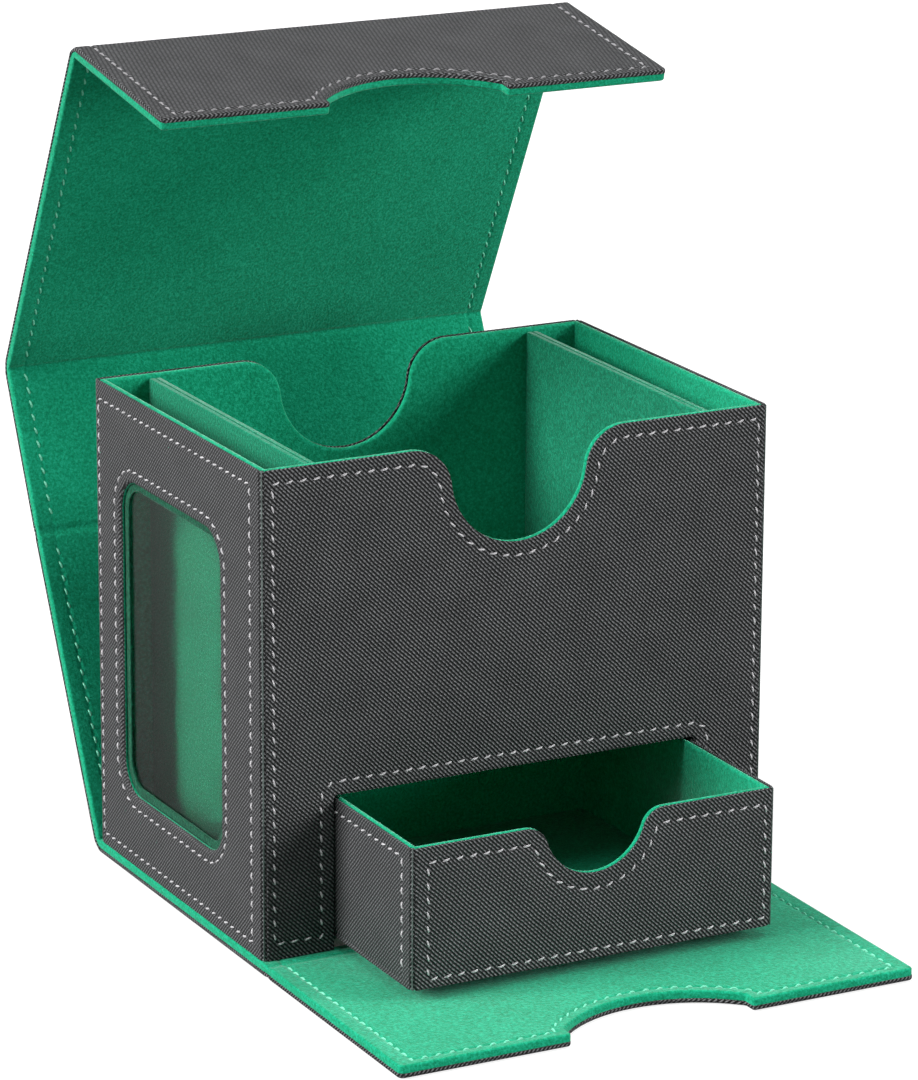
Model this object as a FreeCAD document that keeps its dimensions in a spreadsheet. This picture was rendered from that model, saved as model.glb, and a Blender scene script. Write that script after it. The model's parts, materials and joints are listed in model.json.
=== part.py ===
import FreeCAD, Part
import math
import os
import re
import Sketcher

# A card deck box: a lined board box glued to a wrap-around cover with magnetic flaps.
# Millimetres. X to the right, +Y to the back, +Z up. The origin is under the middle of the
# box, on the underside of the cover. It is drawn open: cover thrown back, drawer pulled out.

SIZES = {
    # box
    "box_width": 130.0,
    "box_depth": 91.2,
    "box_height": 115.4,
    "skin_thick": 0.6,
    "board_thick": 1.3,
    "lining_thick": 0.6,
    "floor_thick": 1.9,
    "notch_radius": 17.4,
    "notch_depth": 24.4,
    "notch_shoulder": 10.0,
    "door_width": 94.5,
    "door_height": 37.5,
    # side windows
    "window_length": 55.0,
    "window_height": 77.2,
    "window_level": 56.3,
    "window_shift": 4.2,
    "window_radius": 8.0,
    "window_band": 2.0,
    "pane_thick": 0.3,
    "pane_lap": 4.0,
    # dividers and shelf
    "slot_width": 10.5,
    "divider_thick": 3.0,
    "divider_drop": 1.0,
    "divider_groove": 0.6,
    "shelf_thick": 2.0,
    # drawer
    "drawer_width": 93.0,
    "drawer_length": 88.0,
    "drawer_height": 33.5,
    "drawer_gap": 0.3,
    "drawer_reach": 37.5,
    "drawer_skin": 0.5,
    "drawer_board": 1.2,
    "drawer_lining": 0.5,
    "pull_radius": 13.0,
    "pull_depth": 12.9,
    "pull_shoulder": 5.5,
    # cover
    "cover_width": 130.6,
    "panel_skin": 0.7,
    "panel_board": 1.4,
    "panel_lining": 0.9,
    "crease_half": 1.8,
    "crease_radius": 1.2,
    "front_gap": 2.6,
    "back_gap": 1.9,
    "lower_flap_length": 66.4,
    "back_lower_length": 77.3,
    "back_upper_length": 41.5,
    "lid_length": 97.0,
    "upper_flap_length": 50.8,
    "cutout_half": 23.0,
    "cutout_radius": 33.0,
    "cutout_depth": 12.8,
    # directions of the open cover's panels, degrees up from +Y about +X
    "back_lower_angle": 63.7,
    "back_upper_angle": 65.5,
    "lid_angle": 117.2,
    "upper_flap_angle": 189.2,
    # magnets
    "magnet_radius": 5.0,
    "magnet_thick": 1.0,
    "magnet_spread": 50.0,
    "magnet_inset": 6.6,
    "lower_magnet_level": 58.3,
    "upper_magnet_level": 73.1,
}

PROUD = 2.0             # how far a cutting tool runs past the face that it cuts
ACROSS = FreeCAD.Vector(1, 0, 0)
UP = FreeCAD.Vector(0, 0, 1)
ALIAS = re.compile(r"\b[a-z]+_[a-z_]+\b")

doc = FreeCAD.newDocument("card_deck_box")
sheet = doc.addObject("Spreadsheet::Sheet", "Sizes")
for row, (alias, value) in enumerate(SIZES.items(), start=1):
    sheet.set(f"A{row}", alias)
    sheet.set(f"B{row}", str(value))
    sheet.setAlias(f"B{row}", alias)
doc.recompute()

# Levels and faces used again and again, as expressions in the sheet's names.
PANEL = "(panel_skin + panel_board + panel_lining)"
WALL = "(skin_thick + board_thick + lining_thick)"
SIDE = "(box_width / 2)"
FRONT = "(-box_depth / 2)"
BACK = "(box_depth / 2)"
TOP = f"({PANEL} + box_height)"
FLOOR = f"({PANEL} + floor_thick + lining_thick)"
SHELF = f"({PANEL} + door_height)"
DOOR = "(door_width / 2)"
LEVEL = f"({PANEL} + window_level)"

pieces = []


def size(alias):
    """The value of one cell."""
    return float(getattr(sheet, alias))


def bind(thing, prop, text):
    """Tie a property to an expression written in the sheet's aliases."""
    thing.setExpression(prop, ALIAS.sub(r"Sizes.\g<0>", text))


def piece(thing, label):
    """Keep a shape as one of the box's sub-parts, under its own name."""
    thing.Label = label
    pieces.append(thing)
    return thing


def block(name, low, high):
    """A box from its lowest to its highest corner, each three expressions."""
    thing = doc.addObject("Part::Box", name)
    for side, axis, start, end in zip(("Length", "Width", "Height"), "xyz", low, high):
        bind(thing, side, f"({end}) - ({start})")
        bind(thing, f"Placement.Base.{axis}", start)
    return thing


def rod(name, radius, height, at, turn=None):
    """A cylinder along +Z, or along another axis after a turn about X or Y."""
    thing = doc.addObject("Part::Cylinder", name)
    if turn:
        thing.Placement = FreeCAD.Placement(FreeCAD.Vector(), FreeCAD.Rotation(*turn))
    bind(thing, "Radius", radius)
    bind(thing, "Height", height)
    for axis, text in zip("xyz", at):
        bind(thing, f"Placement.Base.{axis}", text)
    return thing


def fuse(name, *shapes):
    """Several shapes as one object; shapes that don't touch stay separate solids."""
    thing = doc.addObject("Part::MultiFuse", name)
    thing.Shapes = list(shapes)
    return thing


def cut(name, base, *tools):
    """The base with every tool taken away."""
    thing = doc.addObject("Part::Cut", name)
    thing.Base = base
    thing.Tool = tools[0] if len(tools) == 1 else fuse(f"{name}_tools", *tools)
    return thing


def overlap(name, first, second):
    """What two shapes share."""
    thing = doc.addObject("Part::Common", name)
    thing.Base = first
    thing.Tool = second
    return thing


def new_sketch(body, name, plane):
    """A sketch on one of its own body's origin planes."""
    sketch = body.newObject("Sketcher::SketchObject", name)
    origin_plane = next(p for p in body.Origin.OriginFeatures if p.Role == plane)
    sketch.AttachmentSupport = [(origin_plane, "")]
    sketch.MapMode = "FlatFace"
    return sketch


def dimension(sketch, name, text, *where):
    """Add a dimension, name it and tie it to the sheet."""
    index = sketch.addConstraint(Sketcher.Constraint(*where))
    sketch.renameConstraint(index, name)
    bind(sketch, f"Constraints.{name}", text)


# ---------------------------------------------------------------- tools that cut shapes

def notch_tool(name, kind, rim, rim_value, start, end, grow=None):
    """A U notch with rounded shoulders, cut down from the rim, running from start to end along Y.

    Its bottom is one arc, and each shoulder is a smaller arc that meets the rim. The kind is
    the first word of its sizes. With grow it is that much larger all round, for the board
    whose edge the lining wraps.
    """
    extra = size(grow) if grow else 0.0
    grown = grow or "0"
    big = size(f"{kind}_radius") + extra
    small = size(f"{kind}_shoulder") - extra
    level = rim_value - extra
    centre = rim_value - size(f"{kind}_depth") + size(f"{kind}_radius")
    spread = math.sqrt((big + small) ** 2 - (centre - level + small) ** 2)
    lean = math.atan2(level - small - centre, spread)

    body = doc.addObject("PartDesign::Body", name)
    sketch = new_sketch(body, f"{name}_outline", "XZ_Plane")
    flat = FreeCAD.Vector
    circle = Part.Circle
    sketch.addGeometry(Part.ArcOfCircle(circle(flat(0, centre), UP, big),
                                        math.pi - lean, 2 * math.pi + lean))
    sketch.addGeometry(Part.ArcOfCircle(circle(flat(spread, level - small), UP, small),
                                        math.pi / 2, math.pi + lean))
    sketch.addGeometry(Part.ArcOfCircle(circle(flat(-spread, level - small), UP, small),
                                        -lean, math.pi / 2))
    corners = [flat(spread, level), flat(spread, level + PROUD),
               flat(-spread, level + PROUD), flat(-spread, level)]
    for here, there in zip(corners, corners[1:]):
        sketch.addGeometry(Part.LineSegment(here, there))

    arc, right_arc, left_arc, right_line, top_line, left_line = range(6)
    first, last, middle = 1, 2, 3
    rules = [("Tangent", arc, last, right_arc, last), ("Tangent", arc, first, left_arc, first),
             ("Coincident", right_arc, first, right_line, first),
             ("Coincident", right_line, last, top_line, first),
             ("Coincident", top_line, last, left_line, first),
             ("Coincident", left_line, last, left_arc, last),
             ("Horizontal", top_line), ("Vertical", right_line), ("Vertical", left_line),
             ("Vertical", right_arc, middle, right_arc, first),
             ("Vertical", left_arc, middle, left_arc, last),
             ("PointOnObject", arc, middle, -2), ("Equal", right_arc, left_arc),
             ("Horizontal", right_line, first, left_line, last)]
    for rule in rules:
        sketch.addConstraint(Sketcher.Constraint(*rule))
    dimension(sketch, "bottom_arc", f"{kind}_radius + {grown}", "Radius", arc, big)
    dimension(sketch, "shoulder_arc", f"{kind}_shoulder - {grown}", "Radius", right_arc, small)
    dimension(sketch, "rim_level", f"{rim} - {grown}", "DistanceY", -1, 1, right_line, first, level)
    dimension(sketch, "arc_level", f"{rim} - {kind}_depth + {kind}_radius",
              "DistanceY", -1, 1, arc, middle, centre)
    dimension(sketch, "proud_edge", f"{rim} - {grown} + {PROUD}",
              "DistanceY", -1, 1, top_line, first, level + PROUD)
    return pad_along(body, sketch, "y", start, end)


def rounded_tool(name, width, height, level, radius):
    """A rounded rectangle at a level, set back by window_shift and run right through along X."""
    body = doc.addObject("PartDesign::Body", name)
    sketch = new_sketch(body, f"{name}_outline", "YZ_Plane")
    half_width, half_height = 20.0, 30.0
    low, high = size("window_level") - half_height, size("window_level") + half_height
    corners = [FreeCAD.Vector(y, z) for y, z in
               ((-half_width, low), (half_width, low), (half_width, high), (-half_width, high))]
    for here, there in zip(corners, corners[1:] + corners[:1]):
        sketch.addGeometry(Part.LineSegment(here, there))
    for side in range(4):
        sketch.addConstraint(Sketcher.Constraint("Coincident", side, 2, (side + 1) % 4, 1))
    for side, rule in ((1, "Vertical"), (2, "Horizontal"), (3, "Vertical")):
        sketch.addConstraint(Sketcher.Constraint(rule, side))
    sketch.addConstraint(Sketcher.Constraint("Symmetric", 0, 1, 0, 2, -2))
    dimension(sketch, "width", width, "DistanceX", 0, 1, 0, 2, 2 * half_width)
    dimension(sketch, "height", height, "DistanceY", 1, 1, 1, 2, 2 * half_height)
    dimension(sketch, "bottom", f"{level} - ({height}) / 2", "DistanceY", -1, 1, 0, 1, low)
    pad = pad_along(body, sketch, "x", f"-{SIDE} - {PROUD}", f"{SIDE} + {PROUD}").Tip
    doc.recompute()
    corner_edges = [f"Edge{number}" for number, edge in enumerate(pad.Shape.Edges, start=1)
                    if abs(edge.tangentAt(edge.FirstParameter).x) > 0.99]
    fillet = body.newObject("PartDesign::Fillet", f"{name}_corners")
    fillet.Base = (pad, corner_edges)
    bind(fillet, "Radius", radius)
    body.Tip = fillet
    bind(body, "Placement.Base.y", "window_shift")
    return body


def pad_along(body, sketch, axis, start, end):
    """Pad a sketch from start to end along an axis, by moving its body to the start."""
    pad = body.newObject("PartDesign::Pad", f"{body.Name}_pad")
    pad.Profile = sketch
    pad.Reversed = axis == "y"
    bind(pad, "Length", f"({end}) - ({start})")
    bind(body, f"Placement.Base.{axis}", start)
    return body


def finger_cutout(name, length, grow=None):
    """A shallow arc with short straight ends, cut into a flap's free edge, in the panel's own frame."""
    grown = grow or "0"
    thick = f"{PANEL} / 2 + {PROUD}"
    reach = f"({length} - cutout_depth + cutout_radius)"
    disc = rod(f"{name}_arc", f"cutout_radius + {grown}", f"2 * ({thick})", ("0", reach, f"-({thick})"))
    limits = block(f"{name}_ends",
                   (f"-cutout_half - {grown}", f"{length} - cutout_depth - {PROUD}", f"-({thick})"),
                   (f"cutout_half + {grown}", f"{length} + {PROUD}", thick))
    return overlap(name, disc, limits)


# ---------------------------------------------------------------- the box

def box_walls():
    """Four walls of board with a leather skin outside and a lining that turns over the rim."""
    top_value = panel_thick + size("box_height")
    edge = f"{SIDE} - skin_thick"
    inner = f"{SIDE} - skin_thick - board_thick"
    along = "box_depth / 2 - skin_thick"
    board_end = "box_depth / 2 - skin_thick - board_thick"
    inside = f"box_depth / 2 - {WALL}"
    board_top = f"{TOP} - lining_thick"
    through = (f"{FRONT} - {PROUD}", f"{BACK} + {PROUD}")
    notch = notch_tool("notch", "notch", TOP, top_value, *through)
    board_notch = notch_tool("board_notch", "notch", TOP, top_value, *through, grow="lining_thick")
    door = block("doorway", (f"-{DOOR}", f"{FRONT} - {PROUD}", f"{PANEL} - {PROUD}"),
                 (DOOR, f"{FRONT} + {WALL} + {PROUD}", SHELF))
    opening = rounded_tool("window_opening", "window_length", "window_height", LEVEL, "window_radius")
    sight = rounded_tool("window_sight", "window_length - 2 * window_band",
                         "window_height - 2 * window_band", LEVEL, "window_radius - window_band")
    pane_outline = rounded_tool("pane_outline", "window_length + pane_lap", "window_height + pane_lap",
                                LEVEL, "window_radius + pane_lap / 2")

    front_magnets = []
    for side in (-1, 1):
        for level in ("lower_magnet_level", "upper_magnet_level"):
            at = (f"{side} * magnet_spread", f"{FRONT} + skin_thick", f"{PANEL} + {level}")
            front_magnets.append(rod("front_magnet", "magnet_radius", "magnet_thick", at, (ACROSS, -90)))
    magnets = piece(fuse("front_magnet_set", *front_magnets), "front_wall_magnets")

    ends = {"front": (f"-({along})", f"-({board_end})"), "back": (board_end, along)}
    boards = {}
    for wall, (start, end) in ends.items():
        plain = block(f"{wall}_plate", (f"-({edge})", start, PANEL), (edge, end, board_top))
        tools = [board_notch, door, magnets] if wall == "front" else [board_notch]
        boards[wall] = piece(cut(f"{wall}_wall_board", plain, *tools), f"{wall}_board")
    for wall, sign in (("left", -1), ("right", 1)):
        low_x, high_x = (f"-({edge})", f"-({inner})") if sign < 0 else (inner, edge)
        plain = block(f"{wall}_plate", (low_x, f"-({board_end})", PANEL), (high_x, board_end, board_top))
        boards[wall] = piece(cut(f"{wall}_wall_board", plain, opening), f"{wall}_board")

    skins = {"front": (FRONT, f"-({along})"), "back": (along, BACK)}
    for wall, (start, end) in skins.items():
        plain = block(f"{wall}_sheet", (f"-{SIDE}", start, PANEL), (SIDE, end, TOP))
        tools = [notch, door] if wall == "front" else [notch]
        piece(cut(f"{wall}_wall_skin", plain, *tools), f"{wall}_leather")
    for wall, sign in (("left", -1), ("right", 1)):
        low_x, high_x = (f"-{SIDE}", f"-({edge})") if sign < 0 else (edge, SIDE)
        plain = block(f"{wall}_sheet", (low_x, f"-({along})", PANEL), (high_x, along, TOP))
        piece(cut(f"{wall}_wall_skin", plain, opening), f"{wall}_leather")

    linings = {"front": (f"-({along})", f"-({inside})"), "back": (inside, along)}
    for wall, (start, end) in linings.items():
        plain = block(f"{wall}_cloth", (f"-({edge})", start, FLOOR), (edge, end, TOP))
        tools = [notch, boards[wall], boards["left"], boards["right"]]
        if wall == "front":
            tools += [door, magnets]
        piece(cut(f"{wall}_wall_lining", plain, *tools), f"{wall}_lining")
    for wall, sign in (("left", -1), ("right", 1)):
        glass_in = f"{inner} - pane_thick"
        lined_in, lined_out = f"{inner} - lining_thick", f"{inner} + lining_thick"
        near, far = (f"-({inner})", f"-({glass_in})") if sign < 0 else (glass_in, inner)
        layer = block(f"{wall}_pane_layer", (near, f"-({inside})", FLOOR), (far, inside, TOP))
        pane = piece(overlap(f"{wall}_glazing", layer, pane_outline), f"{wall}_window_pane")
        low_x, high_x = (f"-({edge})", f"-({lined_in})") if sign < 0 else (lined_in, edge)
        plain = block(f"{wall}_cloth", (low_x, f"-({inside})", FLOOR), (high_x, inside, TOP))
        solid_board = block(f"{wall}_board_space", (low_x if sign < 0 else inner, f"-({inside})", FLOOR),
                            (f"-({inner})" if sign < 0 else high_x, inside, board_top))
        piece(cut(f"{wall}_wall_lining", plain, solid_board, pane, sight), f"{wall}_lining")
        near, far = (f"-({lined_out})", f"-({inner})") if sign < 0 else (inner, lined_out)
        layer = block(f"{wall}_band_layer", (near, f"-({inside})", FLOOR), (far, inside, TOP))
        band = overlap(f"{wall}_band_plate", layer, opening)
        piece(cut(f"{wall}_band", band, sight), f"{wall}_window_frame")


def box_inside():
    """Floor, two dividers that make the side slots, and the shelf above the drawer."""
    wide = f"({SIDE} - skin_thick - board_thick)"
    deep = "(box_depth / 2 - skin_thick - board_thick)"
    inside = f"(box_depth / 2 - {WALL})"
    sheet_top = f"{PANEL} + floor_thick"
    piece(block("floor_plate", (f"-{wide}", f"-{deep}", PANEL), (wide, deep, sheet_top)), "floor_board")
    piece(block("floor_cloth", (f"-{wide}", f"-{deep}", sheet_top), (wide, deep, FLOOR)), "floor_lining")

    divider_top = f"{TOP} - divider_drop"
    for side, sign in (("left", -1), ("right", 1)):
        outer = f"({SIDE} - {WALL} - slot_width)"
        near, far = (f"{outer} - divider_thick", outer)
        if sign < 0:
            near, far = (f"-{outer}", f"-{outer} + divider_thick")
        core = block(f"{side}_divider_plate", (f"{near} + lining_thick", f"-{inside}", FLOOR),
                     (f"{far} - lining_thick", inside, f"{divider_top} - divider_groove"))
        piece(core, f"{side}_divider_board")
        cloth = block(f"{side}_divider_cloth", (near, f"-{inside}", FLOOR), (far, inside, divider_top))
        groove = block(f"{side}_divider_groove", (f"{near} + lining_thick", f"-{inside}", FLOOR),
                       (f"{far} - lining_thick", inside, f"{divider_top} + {PROUD}"))
        piece(cut(f"{side}_divider_cover", cloth, groove), f"{side}_divider_lining")

    reach = f"({SIDE} - {WALL} - slot_width - divider_thick)"
    board_top = f"{SHELF} + shelf_thick"
    piece(block("shelf_plate", (f"-{reach}", f"-{inside}", SHELF), (reach, inside, board_top)),
          "shelf_board")
    piece(block("shelf_cloth", (f"-{reach}", f"-{inside}", board_top),
                (reach, inside, f"{board_top} + lining_thick")), "shelf_lining")


# ---------------------------------------------------------------- the drawer

def drawer():
    """A lined tray with a finger notch in its front, pulled out by drawer_reach."""
    half = "(drawer_width / 2)"
    start = "(-box_depth / 2 - drawer_reach)"
    end = f"({start} + drawer_length)"
    bottom = f"({FLOOR} + drawer_gap)"
    top = f"({bottom} + drawer_height)"
    top_value = panel_thick + sum(size(part) for part in (
        "floor_thick", "lining_thick", "drawer_gap", "drawer_height"))
    edge = f"({half} - drawer_skin)"
    inner = f"({edge} - drawer_board)"
    first, last = f"({start} + drawer_skin)", f"({end} - drawer_skin)"
    base_top = f"({bottom} + drawer_board)"
    board_top = f"({top} - drawer_lining)"
    through = (f"{start} - {PROUD}", f"{start} + drawer_skin + drawer_board + drawer_lining + {PROUD}")
    pull = notch_tool("pull", "pull", top, top_value, *through)
    board_pull = notch_tool("board_pull", "pull", top, top_value, *through, grow="drawer_lining")

    piece(block("drawer_base_plate", (f"-{edge}", first, bottom), (edge, last, base_top)),
          "drawer_floor_board")
    front_plate = block("drawer_front_plate", (f"-{edge}", first, base_top),
                        (edge, f"{first} + drawer_board", board_top))
    front = piece(cut("drawer_front_panel", front_plate, board_pull), "drawer_front_board")
    back = piece(block("drawer_back_plate", (f"-{edge}", f"{last} - drawer_board", base_top),
                       (edge, last, board_top)), "drawer_back_board")
    sides = []
    for side, low_x, high_x in (("left", f"-{edge}", f"-{inner}"), ("right", inner, edge)):
        plate = block(f"drawer_{side}_plate", (low_x, f"{first} + drawer_board", base_top),
                      (high_x, f"{last} - drawer_board", board_top))
        sides.append(piece(plate, f"drawer_{side}_board"))

    cloth = block("drawer_cloth", (f"-{edge}", first, base_top), (edge, last, top))
    hollow = block("drawer_hollow", (f"-{inner} + drawer_lining", f"{first} + drawer_board + drawer_lining",
                                     f"{base_top} + drawer_lining"),
                   (f"{inner} - drawer_lining", f"{last} - drawer_board - drawer_lining",
                    f"{top} + {PROUD}"))
    piece(cut("drawer_inner_cover", cloth, hollow, pull, front, back, *sides), "drawer_lining")

    face = block("drawer_face_sheet", (f"-{half}", start, bottom), (half, first, top))
    piece(cut("drawer_face", face, pull), "drawer_front_leather")
    wrap = block("drawer_wrap_sheet", (f"-{half}", first, bottom), (half, end, top))
    core = block("drawer_wrap_core", (f"-{edge}", f"{first} - {PROUD}", f"{bottom} - {PROUD}"),
                 (edge, last, f"{top} + {PROUD}"))
    piece(cut("drawer_wrap", wrap, core), "drawer_side_leather")


# ---------------------------------------------------------------- the cover

def cover_panel(name, length, placement, flap=False, crease_at=()):
    """One stiff panel: board in a leather tray, with a lining on top, and the creases it carries.

    Its own frame has its first crease along X through the origin, and it runs along +Y with the
    lining towards +Z. A flap ends free, with a finger cut-out and two magnets.
    """
    half = "(cover_width / 2)"
    bottom, top = f"(-{PANEL} / 2)", f"({PANEL} / 2)"
    board_top = f"({top} - panel_lining)"
    near = "crease_half"
    far = length if flap else f"({length} - crease_half)"
    plate = block(f"{name}_plate",
                  (f"-{half} + panel_skin", f"{near} + panel_skin", f"{bottom} + panel_skin"),
                  (f"{half} - panel_skin", f"{far} - panel_skin", board_top))
    tray = block(f"{name}_tray", (f"-{half}", near, bottom), (half, far, board_top))
    cloth = block(f"{name}_cloth", (f"-{half}", near, board_top), (half, far, top))
    shapes = {}
    if flap:
        cutout = finger_cutout(f"{name}_cutout", length)
        board_cutout = finger_cutout(f"{name}_board_cutout", length, "panel_skin")
        shapes["space"] = cut(f"{name}_space", plate, board_cutout)
        discs = [rod(f"{name}_magnet", "magnet_radius", "magnet_thick",
                     (f"{sign} * magnet_spread", f"{length} - magnet_inset", f"{bottom} + panel_skin"))
                 for sign in (-1, 1)]
        shapes["magnets"] = fuse(f"{name}_magnet_pair", *discs)
        shapes["board"] = cut(f"{name}_core", shapes["space"], shapes["magnets"])
        shapes["leather"] = cut(f"{name}_skin", tray, shapes["space"], cutout)
        shapes["lining"] = cut(f"{name}_cover", cloth, cutout)
        del shapes["space"]
    else:
        shapes["board"] = plate
        shapes["leather"] = cut(f"{name}_skin", tray, plate)
        shapes["lining"] = cloth
    for number, at in enumerate(crease_at):
        crease_label, level, sign = at
        bead = rod(f"{name}_bead_{number}", "crease_radius", "cover_width",
                   (f"-{half}", level, "0"), (FreeCAD.Vector(0, 1, 0), 90))
        start, end = (level, f"{level} + crease_half")
        if sign < 0:
            start, end = (f"{level} - crease_half", level)
        web = block(f"{name}_web_{number}", (f"-{half}", start, "-panel_skin / 2"),
                    (half, end, "panel_skin / 2"))
        shapes[crease_label] = fuse(f"{name}_crease_{number}", bead, web)
    for kind, shape in shapes.items():
        placed = doc.addObject("Part::Compound", f"{name}_{kind}_placed")
        placed.Links = [shape]
        placed.Placement = placement
        piece(placed, kind if "crease" in kind else f"{name}_{kind}")


def cover():
    """The wrap-around cover, chained from the base panel over the back to the two flaps."""
    middle = panel_thick / 2
    front_axis = FreeCAD.Vector(0, -size("box_depth") / 2 - size("front_gap"), middle)
    base_length = "(box_depth + front_gap + back_gap)"
    still = FreeCAD.Placement(front_axis, FreeCAD.Rotation())
    turned = FreeCAD.Placement(front_axis, FreeCAD.Rotation(UP, 180))
    cover_panel("base", base_length, still,
                crease_at=(("front_crease", "0", 1), ("back_crease", base_length, -1)))
    cover_panel("lower_flap", "lower_flap_length", turned, flap=True)

    axis = front_axis + FreeCAD.Vector(0, size("box_depth") + size("front_gap") + size("back_gap"), 0)
    chain = (("back_lower", "middle_crease"), ("back_upper", "lid_crease"), ("lid", "flap_crease"),
             ("upper_flap", None))
    for name, crease_label in chain:
        turn = FreeCAD.Rotation(ACROSS, size(f"{name}_angle"))
        length = f"{name}_length"
        creases = [(crease_label, length, -1)] if crease_label else []
        cover_panel(name, length, FreeCAD.Placement(axis, turn), flap=not crease_label, crease_at=creases)
        axis = axis + turn.multVec(FreeCAD.Vector(0, size(length), 0))
        print(f"axis after {name}: y {axis.y:.3f} z {axis.z:.3f}")


# ---------------------------------------------------------------- build, check and write

panel_thick = size("panel_skin") + size("panel_board") + size("panel_lining")

box_walls()
box_inside()
drawer()
cover()
doc.recompute()

for thing in doc.Objects:
    if "Invalid" in thing.State or "Error" in thing.State:
        raise RuntimeError(f"{thing.Label} didn't compute: {thing.State}")
for thing in pieces:
    if thing.Shape.isNull() or not thing.Shape.isValid():
        raise RuntimeError(f"{thing.Label} has a bad shape")

os.makedirs("parts", exist_ok=True)
for thing in pieces:
    thing.Shape.exportStep(f"parts/{thing.Label}.step")
print(len(pieces), "sub-parts written")
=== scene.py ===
import json
import math
import random

import bmesh
import bpy
from mathutils import Matrix, Vector


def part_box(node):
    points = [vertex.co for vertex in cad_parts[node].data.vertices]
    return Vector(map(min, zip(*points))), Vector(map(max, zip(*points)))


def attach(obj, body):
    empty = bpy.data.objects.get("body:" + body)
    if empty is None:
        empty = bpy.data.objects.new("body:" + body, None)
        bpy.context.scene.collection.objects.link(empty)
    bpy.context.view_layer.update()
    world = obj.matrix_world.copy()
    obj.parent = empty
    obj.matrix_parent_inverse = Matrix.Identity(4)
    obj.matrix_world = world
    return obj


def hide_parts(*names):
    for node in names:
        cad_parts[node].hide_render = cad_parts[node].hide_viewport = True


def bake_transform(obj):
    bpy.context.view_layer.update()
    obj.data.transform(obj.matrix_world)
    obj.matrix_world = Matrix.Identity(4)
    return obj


# The looks of an open card deck box: black twill-embossed imitation leather outside, green suede
# inside, light stitching. Pieces are drawn in millimetres in flat frames of their own, and placed
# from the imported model's nodes and joints.

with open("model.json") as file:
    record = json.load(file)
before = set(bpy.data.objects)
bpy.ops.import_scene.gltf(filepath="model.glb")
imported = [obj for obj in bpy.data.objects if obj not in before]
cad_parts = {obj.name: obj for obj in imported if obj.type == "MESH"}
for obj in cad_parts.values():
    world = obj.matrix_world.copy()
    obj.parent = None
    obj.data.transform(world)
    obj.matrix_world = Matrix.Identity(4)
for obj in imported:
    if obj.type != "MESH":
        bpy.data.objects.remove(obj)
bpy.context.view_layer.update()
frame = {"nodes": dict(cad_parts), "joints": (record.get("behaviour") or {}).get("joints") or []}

MM = 0.001
JOINTS = {joint["name"]: Vector(joint["pos_m"]) / MM for joint in frame["joints"] if "pos_m" in joint}
X, Y, Z = Vector((1, 0, 0)), Vector((0, 1, 0)), Vector((0, 0, 1))

# The box's and the drawer's walls, from the outside in.
SKIN, BOARD, LINING = 0.6, 1.3, 0.6
DRAWER_SKIN, DRAWER_BOARD, DRAWER_LINING = 0.5, 1.2, 0.5
BOX_ROUND, DRAWER_ROUND = 1.1, 1.0     # radius of the upright corners
CORNER_GAP = 0.05                      # between a wall's leather and the strip in the corner
WALL_EDGE = 0.26                       # radius of a wall's leather at its edge
NOTCH = {"radius": 17.4, "depth": 24.4, "shoulder": 10.0}
PULL = {"radius": 13.0, "depth": 12.9, "shoulder": 5.5}
DOOR_HALF = 47.25

# The windows, with depths behind the wall's outer face.
WINDOW_RADIUS = 8.0
WINDOW_BAND = 2.0
BAND_FRONT, BAND_BACK = 1.4, 1.9
LIP_RADIUS = 1.2           # the leather's soft turn into a window
LIP_DEPTH = 1.0

# The cover, with heights from the middle of its thickness.
PANEL_THICK = 3.0
PANEL_HALF = PANEL_THICK / 2
SKIN_TOP = -0.35           # where the leather ends and the lining starts
LINING_MARGIN = 0.08       # from the leather's edge to the lining's
LEATHER_ROUND, SUEDE_ROUND = 0.6, 0.55
PANEL_CORNER = 1.4
CREASE_HALF = 1.8
CUTOUT = {"half": 23.0, "radius": 33.0, "depth": 12.8}
UPPER_FLAP_ANGLE = 189.2   # degrees up from the back
UPPER_FLAP_LENGTH = 50.8

# Seams.
PITCH = 3.36               # from one stitch to the next
STITCH_LENGTH = 1.9
STITCH_RADIUS = 0.26
STITCH_SLANT = 0.25
STITCH_RISE = 0.24         # of a stitch's middle over the bottom of its groove
STITCH_ARCH = 0.4          # from a stitch's middle down to its ends
GROOVE_HALF = 0.55
GROOVE_DEPTH = 0.2
BOX_SEAM = 3.0
WINDOW_SEAM = 3.0
DRAWER_SEAM, DRAWER_SIDE_SEAM = 3.0, 3.2
COVER_SEAM = 2.7           # from a flap's free edge
COVER_SIDE_SEAM = 4.2      # from the cover's side edges
SEAM_END = 1.2             # from a crease to the first stitch

# The sewing is a little out of true. Each seam runs at its distance inside an outline that differs
# from the wall's own by these.
BOX_SEAM_RISE = 0.9
FRONT_SEAM_DROP, FRONT_SEAM_SHIFT = 0.2, 0.5
SIDE_SEAM_FRONT, SIDE_SEAM_REAR, SIDE_SEAM_DROP = 2.8, -0.6, 1.35
DRAWER_SEAM_MARGIN, DRAWER_SEAM_DROP, DRAWER_SEAM_SHIFT = 0.3, 0.8, 0.9
DRAWER_SIDE_MARGIN, DRAWER_SIDE_DROP, DRAWER_SIDE_CORNER = 1.5, 1.9, 4.5
DRAWER_SIDE_LOWEST = 2.2   # no stitches below this
BACK_STITCH_SINK = 0.15    # the closed cover lies close to the back walls

random.seed(7)


def low_high(node):
    """A node's lowest and highest corners in millimetres."""
    low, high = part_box(node)
    return low / MM, high / MM


COVER_HALF = low_high("base_leather")[1].x


# ---------------------------------------------------------------- camera

CAMERA_AZIMUTH = math.radians(-27.571)
CAMERA_ELEVATION = math.radians(16.468)
CAMERA_ROLL = math.radians(0.301)
CAMERA_DISTANCE = 1162.67
AIM_RIGHT, AIM_UP = 44.335, 95.747     # from the box's front left foot, across and up the view
LENS = 171.2


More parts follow.
